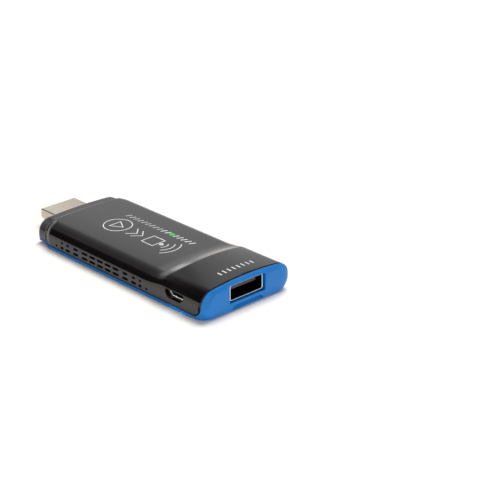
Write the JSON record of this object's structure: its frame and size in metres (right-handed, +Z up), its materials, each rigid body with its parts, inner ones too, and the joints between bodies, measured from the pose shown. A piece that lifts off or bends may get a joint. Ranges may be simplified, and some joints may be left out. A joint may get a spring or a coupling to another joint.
{
  "type": "streaming stick",
  "caption": "TV streaming stick: arched gloss black case over a blue tray and end cap, HDMI plug at one end, USB A port at the other, micro USB port and vents in one side.",
  "frame": {"origin": "on the floor under the middle of the overall box, plug included", "axes": "+X along the stick from the HDMI plug to the USB A port, -Y towards the vents and the micro USB port, +Z up"},
  "size_m": [0.0916, 0.0348, 0.0107],
  "materials": {
    "black_shell": "gloss black, moulded",
    "blue_shell": "satin blue, moulded",
    "plug_metal": "pale warm nickel plate",
    "port_metal": "bright plated steel",
    "insulator": "matt black",
    "contact_gold": "gold plate",
    "circuit_board": "green solder mask",
    "chip_black": "matt epoxy",
    "thermal_pad": "soft grey",
    "spreader": "plain",
    "can_metal": "tin plate",
    "ceramic": "fired ceramic",
    "coil_grey": "ferrite grey",
    "plunger": "matt"
  },
  "bodies": {
    "stick": {"upper_shell": "black_shell", "lower_shell": "blue_shell", "hdmi_plug_shell": "plug_metal", "hdmi_plug_core": "insulator", "hdmi_contacts": "contact_gold", "usb_a_shell": "port_metal", "usb_a_tongue": "insulator", "usb_a_contacts": "contact_gold", "micro_usb_shell": "port_metal", "micro_usb_tongue": "insulator", "micro_usb_contacts": "contact_gold", "main_board": "circuit_board", "processor": "chip_black", "memory_chips": "chip_black", "flash_chip": "chip_black", "power_chip": "chip_black", "thermal_pad": "thermal_pad", "heat_spreader": "spreader", "wifi_board": "circuit_board", "wifi_shield": "can_metal", "wifi_chip": "chip_black", "wifi_antenna": "ceramic", "crystals": "can_metal", "inductors": "coil_grey", "capacitors": "ceramic", "resistors": "chip_black", "hdmi_filters": "ceramic", "usb_fuse": "coil_grey", "reset_switch": "insulator"},
    "plunger": {"reset_plunger": "plunger"}
  },
  "joints": [
    {"name": "reset_press", "type": "slide", "parent": "stick", "child": "plunger", "axis": [0, -1, 0], "range_m": [0, 0.00025], "stiffness_N_per_m": 400, "springref_m": -0.0003}
  ]
}
